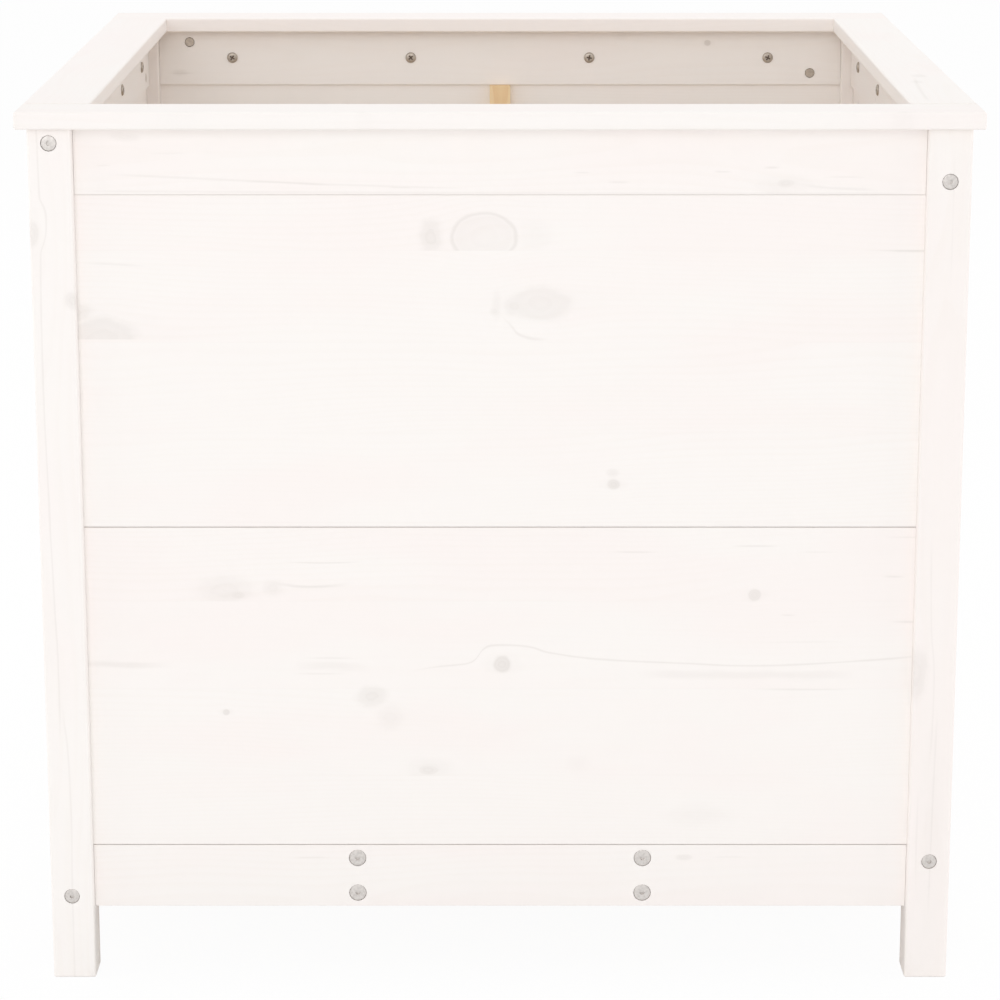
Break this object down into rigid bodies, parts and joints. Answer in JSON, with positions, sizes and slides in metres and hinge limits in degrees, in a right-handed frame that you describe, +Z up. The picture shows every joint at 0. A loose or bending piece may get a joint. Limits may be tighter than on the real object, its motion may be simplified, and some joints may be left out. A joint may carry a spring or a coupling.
{
  "type": "square planter",
  "caption": "Square painted-timber planter box with corner posts as legs, board walls, a flat overhanging rim and a slatted floor.",
  "frame": {"origin": "on the ground under the centre of the planter", "axes": "+Z up, -Y towards the front, +X to the right seen from the front"},
  "size_m": [0.825, 0.825, 0.7846],
  "materials": {
    "painted_pine": "warm white satin paint over pine, with knots and grain showing through",
    "bare_pine": "unpainted planed pine",
    "zinc_steel": "zinc-plated, slightly dulled"
  },
  "bodies": {
    "root": {"rim_front": "painted_pine", "rim_back": "painted_pine", "rim_left": "painted_pine", "rim_right": "painted_pine", "post_front_left": "painted_pine", "front_top_rail": "painted_pine", "front_upper_panel": "painted_pine", "front_lower_panel": "painted_pine", "front_bottom_rail": "painted_pine", "front_batten": "bare_pine", "front_bolt_top_left": "zinc_steel", "front_bolt_top_right": "zinc_steel", "front_bolt_bottom_left": "zinc_steel", "front_bolt_bottom_right": "zinc_steel", "post_front_right": "painted_pine", "right_top_rail": "painted_pine", "right_upper_panel": "painted_pine", "right_lower_panel": "painted_pine", "right_bottom_rail": "painted_pine", "right_batten": "bare_pine", "right_bolt_top_left": "zinc_steel", "right_bolt_top_right": "zinc_steel", "right_bolt_bottom_left": "zinc_steel", "right_bolt_bottom_right": "zinc_steel", "post_back_right": "painted_pine", "back_top_rail": "painted_pine", "back_upper_panel": "painted_pine", "back_lower_panel": "painted_pine", "back_bottom_rail": "painted_pine", "back_batten": "bare_pine", "back_bolt_top_left": "zinc_steel", "back_bolt_top_right": "zinc_steel", "back_bolt_bottom_left": "zinc_steel", "back_bolt_bottom_right": "zinc_steel", "post_back_left": "painted_pine", "left_top_rail": "painted_pine", "left_upper_panel": "painted_pine", "left_lower_panel": "painted_pine", "left_bottom_rail": "painted_pine", "left_batten": "bare_pine", "left_bolt_top_left": "zinc_steel", "left_bolt_top_right": "zinc_steel", "left_bolt_bottom_left": "zinc_steel", "left_bolt_bottom_right": "zinc_steel", "floor_bearer_left": "bare_pine", "bearer_bolt_front_left_lower": "zinc_steel", "bearer_bolt_back_left_lower": "zinc_steel", "bearer_bolt_front_left_upper": "zinc_steel", "bearer_bolt_back_left_upper": "zinc_steel", "floor_bearer_right": "bare_pine", "bearer_bolt_front_right_lower": "zinc_steel", "bearer_bolt_back_right_lower": "zinc_steel", "bearer_bolt_front_right_upper": "zinc_steel", "bearer_bolt_back_right_upper": "zinc_steel", "floor_slat_1": "bare_pine", "floor_slat_2": "bare_pine", "floor_slat_3": "bare_pine", "floor_slat_4": "bare_pine", "floor_slat_5": "bare_pine", "floor_slat_6": "bare_pine"}
  },
  "joints": []
}
